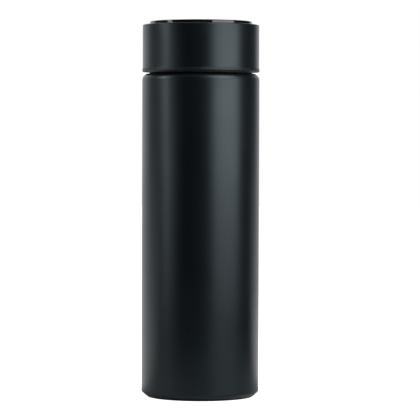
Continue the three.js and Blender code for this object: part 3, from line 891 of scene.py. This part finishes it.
def make_lid_core(plastic):
    """The deck across the lid, with holes for screws and wires, and the threaded skirt."""
    bore = LID_THREAD_R
    profile = rounded([(0.0, 15.1), (bore, 15.1, 0.4), (bore, 9.5)], steps=4)
    profile += dense((bore, 9.4), (bore, 1.1), 0.15)
    profile += rounded([
        (bore, 1.1), (27.0, 0.3, 0.3), (30.0, 0.3, 0.3), (30.0, 1.4, 0.2),
        (32.95, 1.4, 0.2), (32.95, 3.0, 0.2), (28.3, 3.0, 0.3), (28.3, 15.1, 0.3),
        (32.95, 15.1, 0.2), (32.95, DECK_TOP, 0.2), (0.0, DECK_TOP),
    ], steps=3)
    first_ridge = THREAD_Z - SHOULDER_Z - 1.65

    def thread(angle, radius, height):
        if abs(radius - bore) > SAME:
            return radius
        return radius - THREAD_DEPTH * ridge(angle, height, first_ridge, (60, 560), (2.2, 0.8))

    core = lathe(profile, relief=thread).on_lid()
    holes = around(disc(1.4, 14, 18), STOPPER_POSTS) + disc(WIRE_HOLE_R, 14, 18).moved(WIRE_X)
    stand_in(core, "lid_core", "lid", "black_plastic", plastic, cut=holes.on_lid())


def make_stopper(plastic):
    """The cup that fills the mouth, with a seal rib, a flange and three screw posts."""
    corners = [
        (4.3, 2.7, 0.2), (20.7, 2.7, 1.0), (20.7, 8.3, 0.2), (21.9, 8.3, 0.25), (21.9, 9.5, 0.25),
        (20.7, 9.5, 0.1), (20.7, 14.1, 0.1), (24.3, 14.1, 0.2), (24.3, 15.0, 0.2), (19.2, 15.0, 0.2),
        (19.2, 4.3, 0.4), (4.3, 4.3, 0.2),
    ]
    cup = lathe(rounded(corners, closed=True)).on_lid()
    posts = around(disc(2.4, 3.8, 15.0), STOPPER_POSTS).on_lid()
    pilots = around(disc(1.25, 8.7, 16.0), STOPPER_POSTS).on_lid()
    stand_in(cup, "stopper", "lid", "black_plastic", plastic, added=posts, cut=pilots)


def make_insulation_puck(foam):
    """The foam in the stopper, bored for the leads and notched round the posts."""
    corners = [(3.9, 7.5, 0.4), (18.9, 7.5, 0.6), (18.9, 12.3, 0.6), (3.9, 12.3, 0.4)]
    ring = lathe(rounded(corners, closed=True)).on_lid()
    notches = around(disc(2.8, 6.5, 13.3), STOPPER_POSTS).on_lid()
    puck = stand_in(ring, "insulation_puck", "lid", "foam", foam, cut=notches)


def make_probe(steel, rubber):
    """The thermometer finger, with a fine thread for its nut, and its seal."""
    wall = 4.0
    corners = [
        (0.0, -3.7), (wall, -3.7, 1.2), (wall, 0.8, 0.15), (6.6, 0.8, 0.2), (6.6, 1.6, 0.2),
        (wall, 1.6, 0.1), (wall, 1.9),
    ]
    thread_foot = 2.0
    profile = rounded(corners) + dense((wall, thread_foot), (wall, 7.1), 0.08)
    profile += rounded([(wall, 7.1), (3.85, 7.3), (3.2, 7.3, 0.15), (3.2, -2.9, 0.8), (0.0, -2.9)])
    turned = fine_thread(wall, 0.2, 0.75)

    def thread(angle, radius, height):
        return turned(angle, radius, height) if height > thread_foot else radius

    cap = lathe(profile, SMALL, thread).on_lid()
    stand_in(cap, "probe_cap", "lid", "bare_steel", steel)
    band = lathe(arc((5.3, 2.15), 0.5, 0, 360, 20)[:-1], SMALL).on_lid()
    stand_in(band, "probe_o_ring", "lid", "foot_rubber", rubber)


def make_probe_nut(steel):
    """The hexagonal nut, with its corners chamfered and its bore countersunk."""
    across_flats, low, high = 10.5, 4.5, 6.7
    corner_r = across_flats / math.sqrt(3)

    def mirrored(half):
        """A turned form whose upper half mirrors the lower one."""
        return lathe(half + [(r, low + high - z) for r, z in reversed(half)], SMALL).on_lid()

    hexagon = prism([polar(corner_r, 60 * k) for k in range(6)], low - 1, high + 1).on_lid()
    chamfered = mirrored([(0.0, low), (across_flats / 2 - 0.2, low), (corner_r + 0.1, low + 0.6)])
    bore = mirrored([(0.0, low - 1), (5.6, low - 1), (4.2, low + 0.4)])
    stand_in(hexagon, "probe_nut", "lid", "bare_steel", steel, kept=chamfered, cut=bore)


def make_thermistor(resin, tin):
    """The sensor: a resin drop at the probe's tip, with two tinned legs up to the leads."""
    drop = arc((0.0, -0.7), 1.3, -90, 55, 14) + [(0.5, 0.62), (0.0, 0.7)]
    legs = joined(
        tube([(0, side * 0.35, 0.2), (0, side * 0.6, 0.65), (0, side * 0.9, 0.88)], 0.18, 8).inked(1)
        for side in (1, -1)
    )
    sensor = lathe([(0.0, -2.0)] + drop[1:], 48) + legs
    stand_in(sensor.on_lid(), "thermistor_bead", "lid", "black_wire", resin, tin)


def make_sensor_lead(number, side, insulation, slot):
    """One insulated lead: up through the probe, over the foam and through the deck."""
    route = [
        (0, 0.9), (0, 5.5), (0, 10), (1.6, 12.6), (5, 13.4), (12.6, 13.4), (15.9, 14.2),
        (WIRE_X, 16.4), (WIRE_X, 20), (WIRE_X, 24),
    ]
    path = eased([(x, side * 0.9, z) for x, z in route], 8)
    stand_in(tube(path, 0.55, 16).on_lid(), f"sensor_lead_{number}", "lid", slot, insulation)


def make_screws(name, posts, height, sizes, steel):
    """Pan-head screws with a cross recess, whose heads rest on the posts at a height."""
    head_r, head_h, shank_r, length = sizes
    tip = 1.2 * shank_r - length
    profile = [(0.0, -length), (0.25 * shank_r, -length), (0.95 * shank_r, tip)]
    profile += dense((shank_r, tip + 0.05), (shank_r, -0.3), 0.1)
    profile += rounded([
        (0.85 * shank_r, -0.2), (0.85 * shank_r, 0.0, 0.08), (head_r, 0.0, 0.1),
        (head_r, 0.5 * head_h, 0.35), (0.65 * head_r, head_h, 0.5), (0.0, head_h),
    ])
    long, wide = 0.55 * head_r, 0.14 * head_r
    cross = [
        (long, -wide), (long, wide), (wide, wide), (wide, long), (-wide, long), (-wide, wide),
        (-long, wide), (-long, -wide), (-wide, -wide), (-wide, -long), (wide, -long), (wide, -wide),
    ]
    pattern = lathe(profile, TINY, fine_thread(shank_r, 0.25 * shank_r, 0.75 * shank_r))
    recess = prism(cross, 0.4 * head_h, head_h + 1)
    radius, angles = posts
    for number, degrees in enumerate(angles, 1):
        turn = 17 * number     # each one stops at its own angle
        spot = (*polar(radius, degrees), height, turn)
        screw, cut = pattern.moved(*spot), recess.moved(*spot)
        stand_in(screw, f"{name}_{number}", "lid", "bare_steel", steel, cut=cut)


# -------------------------------------------- display, on top of the deck

def make_electronics_tray(plastic):
    """The tray with its cell well and board posts, carrying the lens on its rim."""
    corners = [
        (0.0, 0.2), (29.5, 0.2, 0.3), (29.5, 10.65, 0.2), (26.8, 10.65, 0.2), (26.8, 9.4, 0.1),
        (28.3, 9.4, 0.3), (28.3, 1.4, 0.5), (13.6, 1.4, 0.3), (13.6, 4.6, 0.25), (12.6, 4.6, 0.25),
        (12.6, 1.4, 0.2), (0.0, 1.4),
    ]
    tray = lathe(rounded(corners)).on_deck()
    posts = around(disc(2.2, 1.0, 7.4), BOARD_POSTS).on_deck()
    holes = around(disc(0.9, 3.0, 8.5), BOARD_POSTS) + around(disc(2.5, -1, 2.4), STOPPER_POSTS)
    cut = (holes + disc(WIRE_HOLE_R, -1, 2.4).moved(WIRE_X)).on_deck()
    stand_in(tray, "electronics_tray", "lid", "black_plastic", plastic, added=posts, cut=cut)


def make_coin_cell(steel):
    """The cell, with the crimp of its can at the bottom and a stamped ring on top."""
    corners = [
        (0.0, 0.0), (10.85, 0.0, 0.25), (11.25, 0.5, 0.1), (12.25, 0.9, 0.25), (12.25, 5.0, 0.45),
        (9.0, 5.0, 0.1), (8.8, 4.9, 0.1), (8.2, 4.9, 0.1), (8.0, 5.0, 0.1), (0.0, 5.0),
    ]
    cell = lathe(rounded(corners)).moved(z=DISPLAY_Z + 1.9)
    stand_in(cell, "coin_cell", "lid", "bare_steel", steel)


def make_cell_springs(spring):
    """The dished washer under the cell, and the sheet clip over it."""
    washer = lathe([(2.0, 1.7), (7.0, 1.45), (7.0, 1.6), (2.0, 1.85)], SMALL).on_deck()
    slot = prism(oblong(3.0, 0.8, 0.3), 1, 2)
    slots = joined(slot.moved(*polar(5.9, turn), 0, turn) for turn in (0, 120, 240)).on_deck()
    stand_in(washer, "cell_contact", "lid", "spring_steel", spring, cut=slots)
    outer, thick, foot, top, bend = 12.85, 0.25, 4.9, 7.3, 0.8
    outline = rounded([
        (-outer, foot), (thick - outer, foot), (thick - outer, top - thick, bend - thick),
        (outer - thick, top - thick, bend - thick), (outer - thick, foot), (outer, foot),
        (outer, top, bend), (-outer, top, bend),
    ], closed=True)
    clip = prism(outline, -3, 3).stood().moved(z=DISPLAY_Z, turn=90)
    stand_in(clip, "cell_clip", "lid", "spring_steel", spring)


def board_tracks(low, high):
    """Copper tracks that fan out from the controller to small holes, and a ring round the edge."""
    tracks = [lathe([(25.0, low), (25.4, low), (25.4, high), (25.0, high)])]
    for k in range(8):
        off = k - 3.5
        bend = 4.6 - 0.35 * abs(off)
        end = (7.0 + 0.5 * (k % 2), 1.15 * off)
        route = [(3.0, 0.6 * off), (bend, 0.6 * off), (bend + 0.55 * abs(off), 1.15 * off), end]
        fan = prism(sheet(shifted(route, -0.11), 0.22), low, high) + disc(0.38, low, high).moved(*end)
        tracks += [fan.moved(turn=turn).moved(*CONTROLLER_SPOT) for turn in (0, 90, 180, 270)]
    return joined(tracks)


def make_circuit_board(mask, tin, ceramic, track):
    """The round board with its tracks and small surface-mounted parts."""
    under, top = 7.5, 8.5
    board = lathe(rounded([(0.0, under), (26.2, under, 0.1), (26.2, top, 0.1), (0.0, top)], steps=2))
    holes = around(disc(1.25, under - 1, top + 1), BOARD_POSTS).on_deck()
    stand_in(board.on_deck(), "circuit_board", "lid", "board_green", mask, cut=holes)
    spots = [(2.4 * k - 3.6, -6.6, 90) for k in range(4)] + [(16.5, 5 - 2.2 * k, 0) for k in range(4)]
    spots += [(-16.5, 4 - 2.2 * k, 0) for k in range(3)]
    body = prism(oblong(1.0, 0.8, 0.05, 1), 0.0, 0.75, 0.05).inked(2)
    ends = joined(prism(oblong(0.3, 0.84, 0.05, 1), 0.0, 0.79, 0.04).moved(x).inked(1) for x in (-0.65, 0.65))
    part = body + ends
    details = joined(part.moved(x, y, DISPLAY_Z + BOARD_TOP, turn) for x, y, turn in spots)
    details += board_tracks(top - 0.02, top + 0.035).on_deck()
    place(details, "circuit_board_parts", "lid", "board_green", track, tin, ceramic)


def make_controller_chip(resin, tin):
    """The flat chip with eight bent legs on each side and a dimple at its first leg."""
    leg_side = [
        (2.7, 0.43), (2.98, 0.43), (3.1, 0.0), (3.5, 0.0),
        (3.5, 0.12), (3.2, 0.12), (3.08, 0.55), (2.7, 0.55),
    ]
    leg = prism(leg_side, -0.14, 0.14).stood()
    row = joined(leg.moved(y=0.6 * (k - 3.5)) for k in range(8))
    legs = joined(row.moved(turn=turn) for turn in (0, 90, 180, 270)).inked(1)
    x, y, z = (*CONTROLLER_SPOT, DISPLAY_Z + BOARD_TOP)
    body = prism(oblong(5.7, 5.7, 0.15, 2), 0.08, 1.0, 0.08).moved(x, y, z)
    dimple = disc(0.35, 0.93, 1.5).moved(x - 2.1, y + 2.1, z)
    stand_in(body, "controller_chip", "lid", "chip_black", resin, cut=dimple)
    place(legs.moved(x, y, z), "controller_chip_legs", "lid", "spring_steel", resin, tin)


def make_display_module(smoke, segment_white):
    """The display block, with three seven-segment digits, unlit, behind its window."""
    centre = (0.0, 3.0, DISPLAY_Z + BOARD_TOP)
    block = prism(oblong(26, 14, 0.5), 0.0, 2.0, 0.15).moved(*centre)
    recess = prism(oblong(22, 10, 0.3), 1.6, 3.0).moved(*centre)
    stand_in(block, "display_module", "lid", "display_smoke", smoke, cut=recess)
    half, end, thick = 1.5, 1.85, 0.35
    bar = [(end, 0), (half, thick), (-half, thick), (-end, 0), (-half, -thick), (half, -thick)]
    flat = prism(bar, 1.6, 1.68)
    stroke = 3.8
    digit = joined([flat.moved(y=stroke * k) for k in (-1, 0, 1)] + [
        flat.moved(x * stroke / 2, y * stroke / 2, 0, 90) for x in (-1, 1) for y in (-1, 1)
    ])
    digits = joined(digit.moved(x) for x in (-6.6, 0.0, 6.6)).moved(*centre)
    place(digits, "display_segments", "lid", "display_smoke", segment_white)


def make_touch_spring(spring):
    """The coil that links the board to the lens, with its first and last turns nearly flat."""
    coil_r, wire_r, turns, height = 2.4, 0.3, 3, 1.5
    steps = 32 * turns
    path = []
    for k in range(steps + 1):
        t = k / steps
        x, y = polar(coil_r, 360 * turns * t)
        path.append((x, y, height * t * t * (3 - 2 * t)))
    coil = tube(path, wire_r, 10).moved(8, -12, DISPLAY_Z + BOARD_TOP + 0.45)
    stand_in(coil, "touch_spring", "lid", "spring_steel", spring)


def make_lens_tape(tape):
    """The adhesive ring that holds the lens to the tray's rim."""
    corners = [(26.8, 10.75), (29.4, 10.75), (29.4, 10.95), (26.8, 10.95)]
    band = lathe(rounded([(*c, 0.05) for c in corners], closed=True, steps=2)).on_deck()
    stand_in(band, "lens_tape", "lid", "tape_black", tape)


def make_display_lens(gloss):
    """The glossy disc, with its top edge softly rounded."""
    low, high = (v.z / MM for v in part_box("display_lens"))
    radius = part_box("display_lens")[1].x / MM
    corners = [(0.0, low), (radius, low, 0.15), (radius, high, 0.45), (radius - 6, high), (0.0, high)]
    stand_in(lathe(rounded(corners, steps=6)), "display_lens", "lid", "lens_black", gloss)


# -------------------------------------------- assembly

make_camera()
make_world()
make_floor()
for light_name, settings in LIGHTS.items():
    area_light(light_name, *settings)

paint = body_paint("body_paint", 0.33, 0.37)
lip_paint = body_paint("body_paint_lip", 0.44, 0.50)
blasted = bare_steel("bare_steel", (0.35, 0.347, 0.34), (0.43, 0.427, 0.42), 0.50, 0.62)
steel = bare_steel("polished_steel", (0.56, 0.555, 0.54), (0.66, 0.655, 0.64), 0.2, 0.34)
spring, plastic, rubber = spring_steel(), black_plastic(), foot_rubber()
resin = moulded("chip_black", (0.010, 0.010, 0.011), (0.022, 0.022, 0.024), 0.45, 0.62, 2400, 0.00002)
tin = moulded("solder_tin", (0.42, 0.42, 0.41), (0.62, 0.62, 0.60), 0.25, 0.45, 1500, 0.00002, 1.0)
ceramic = moulded("part_ceramic", (0.22, 0.15, 0.09), (0.34, 0.24, 0.15), 0.5, 0.7, 2400, 0.00002)
track = moulded("board_track", (0.018, 0.15, 0.065), (0.026, 0.20, 0.09), 0.26, 0.38, 900, 0.00001)
smoke = moulded("display_smoke", (0.012, 0.013, 0.013), (0.022, 0.024, 0.024), 0.16, 0.26, 700, 0.00001)
digits = moulded("display_segment", (0.26, 0.27, 0.27), (0.36, 0.37, 0.37), 0.5, 0.65, 1800, 0.00001)
tape = moulded("tape_black", (0.008, 0.008, 0.008), (0.028, 0.028, 0.028), 0.8, 0.93, 1600, 0.00005)
red = moulded("red_wire", (0.25, 0.014, 0.010), (0.38, 0.026, 0.02), 0.38, 0.52, 900, 0.00002)
black = moulded("black_wire", (0.008, 0.008, 0.009), (0.02, 0.02, 0.021), 0.38, 0.52, 900, 0.00002)

make_outer_shell(paint, blasted)
make_inner_liner(blasted)
make_base_disc(blasted)
make_vacuum_seal_bead(seal_glass())
make_getter(getter_grey(), spring)
make_reflector_foil(copper_foil())
make_base_cover(plastic)
make_foot_ring(rubber)
make_seal_ring(seal_silicone())
make_lid_shell(paint, lip_paint)
make_lid_core(plastic)
make_stopper(plastic)
make_insulation_puck(insulating_foam())
make_probe(steel, rubber)
make_probe_nut(steel)
make_thermistor(resin, tin)
make_sensor_lead(1, 1, red, "red_wire")
make_sensor_lead(2, -1, black, "black_wire")
make_screws("stopper_screw", STOPPER_POSTS, DISPLAY_Z + 0.05, (2.1, 1.3, 1.1, 7.0), steel)
make_electronics_tray(plastic)
make_coin_cell(steel)
make_cell_springs(spring)
make_circuit_board(board_green(), tin, ceramic, track)
make_controller_chip(resin, tin)
make_display_module(smoke, digits)
make_touch_spring(spring)
make_screws("board_screw", BOARD_POSTS, DISPLAY_Z + BOARD_TOP, (1.8, 1.1, 0.75, 4.4), steel)
make_lens_tape(tape)
make_display_lens(lens_black())

bpy.context.scene.view_settings.view_transform = "Standard"
